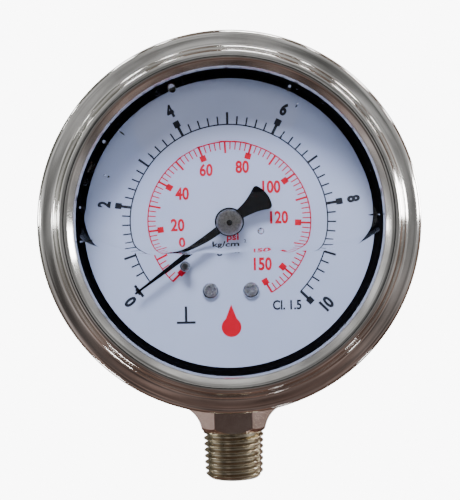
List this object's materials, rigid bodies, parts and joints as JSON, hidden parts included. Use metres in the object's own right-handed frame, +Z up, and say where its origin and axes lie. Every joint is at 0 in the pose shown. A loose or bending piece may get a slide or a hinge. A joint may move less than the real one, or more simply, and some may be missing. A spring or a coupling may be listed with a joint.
{
  "type": "pressure gauge",
  "caption": "Round liquid-filled dial gauge with a bourdon tube movement, twin scales, a crimped bezel and a bottom tapered thread.",
  "frame": {"origin": "centre of the threaded stem's end face, at the mouth of the pressure port", "axes": "+Z up along the stem, -Y out of the dial towards the reader, +X to the reader's right"},
  "size_m": [0.08, 0.0366, 0.0965],
  "materials": {
    "polished_stainless": "polished stainless steel",
    "window_glass": "clear flat glass",
    "black_rubber": "black moulded rubber",
    "dial_enamel": "satin white enamel",
    "pointer_black": "black lacquer",
    "brass": "rolled brass",
    "bright_cap": "turned and plated",
    "steel_pivots": "ground steel",
    "zinc_screws": "zinc plated",
    "spring_bronze": "rolled strip",
    "tube_bronze": "drawn bronze",
    "nickelled_brass": "machined and thinly nickelled",
    "clip_steel": "stamped sheet",
    "fibre_gasket": "pressed fibre",
    "glycerine": "clear liquid"
  },
  "bodies": {
    "housing": {"case": "polished_stainless", "bezel_ring": "polished_stainless", "window": "window_glass", "window_gasket": "black_rubber", "dial": "dial_enamel", "front_plate": "brass", "back_plate": "brass", "restrictor_screw": "brass", "plate_pillars": "brass", "dial_spacers": "brass", "hairspring_stud": "steel_pivots", "zero_stop_pin": "steel_pivots", "dial_screws": "zinc_screws", "plate_screws": "zinc_screws", "movement_screws": "zinc_screws", "hairspring": "spring_bronze", "bourdon_tube": "tube_bronze", "socket": "nickelled_brass", "socket_retaining_clip": "clip_steel", "socket_gasket": "fibre_gasket", "glycerine_fill": "glycerine"},
    "pointer_shaft": {"pinion_shaft": "steel_pivots", "hairspring_collet": "brass", "pointer": "pointer_black", "pointer_hub": "brass", "hub_cap": "bright_cap"},
    "sector": {"sector_gear": "brass", "sector_arbor": "steel_pivots", "link_pin_lower": "steel_pivots"},
    "link": {"link_bar": "brass"},
    "tube_tip": {"tube_end_piece": "tube_bronze", "link_pin_upper": "steel_pivots"},
    "fill_plug": {"fill_plug": "black_rubber"}
  },
  "joints": [
    {"name": "pointer_turn", "type": "hinge", "parent": "housing", "child": "pointer_shaft", "pos_m": [0, 0, 0.0565], "axis": [0, 1, 0], "range_deg": [0, 261], "stiffness_Nm_per_rad": 0.00001, "springref_deg": -57.3, "deforming": ["hairspring"]},
    {"name": "sector_turn", "type": "hinge", "parent": "housing", "child": "sector", "pos_m": [0.00972, 0, 0.04678], "axis": [0, -1, 0], "range_deg": [0, 26.2]},
    {"name": "link_turn", "type": "hinge", "parent": "sector", "child": "link", "pos_m": [0.01479, 0, 0.04463], "axis": [0, -1, 0], "range_deg": [-26.2, 0]},
    {"name": "tip_travel", "type": "slide", "parent": "housing", "child": "tube_tip", "axis": [0.1728, 0, 0.985], "range_m": [0, 0.00248], "stiffness_N_per_m": 500, "springref_m": -0.0002, "deforming": ["bourdon_tube"]},
    {"name": "fill_plug_lift", "type": "slide", "parent": "housing", "child": "fill_plug", "axis": [0, 0, 1], "range_m": [0, 0.012]}
  ],
  "couplings": [
    {"joint": "pointer_turn", "follows": "tip_travel", "rad_per_m": 1833.8},
    {"joint": "sector_turn", "follows": "tip_travel", "rad_per_m": 183.38},
    {"joint": "link_turn", "follows": "tip_travel", "rad_per_m": -183.38}
  ]
}
